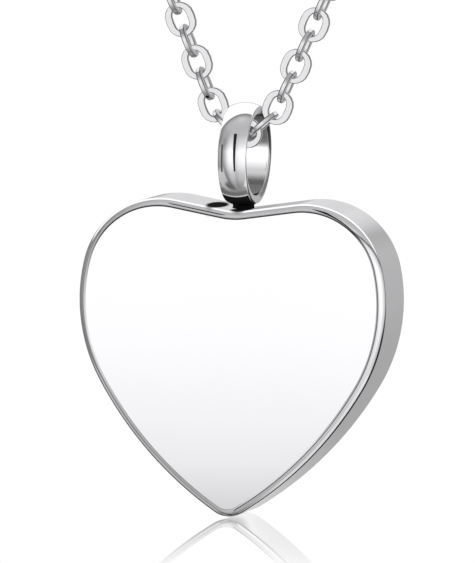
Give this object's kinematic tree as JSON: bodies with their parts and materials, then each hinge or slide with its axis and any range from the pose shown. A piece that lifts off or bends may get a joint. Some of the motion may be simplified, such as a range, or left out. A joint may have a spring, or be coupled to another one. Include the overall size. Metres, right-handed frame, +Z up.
{
  "type": "keepsake urn pendant necklace",
  "caption": "Hollow polished steel heart whose ring bail unscrews with a plug to open it, hanging on a closed oval-link cable chain with a plain clasp behind the neck.",
  "frame": {"origin": "middle of the clasp at the top of the hanging loop, where the chain lies behind the neck", "axes": "+Z up, from the heart to the clasp; +X to the wearer's left, along the heart's width; the heart's front face looks towards -Y"},
  "size_m": [0.1092, 0.0082, 0.2113],
  "materials": {
    "polished_steel": "mirror-polished stainless steel",
    "chain_steel": "polished stainless steel wire"
  },
  "bodies": {
    "chain": {"chain_flat_links": "chain_steel", "chain_cross_links": "chain_steel", "clasp": "chain_steel", "clasp_ring": "chain_steel", "end_ring": "chain_steel"},
    "bail": {"bail": "polished_steel"},
    "heart": {"heart_body": "polished_steel"}
  },
  "joints": [
    {"name": "pendant_swing", "type": "hinge", "parent": "chain", "child": "bail", "pos_m": [0, 0, -0.17924], "axis": [1, 0, 0], "range_deg": [-90, 90]},
    {"name": "heart_unscrew", "type": "slide", "parent": "bail", "child": "heart", "axis": [0, 0, -1], "range_m": [0, 0.005]}
  ]
}
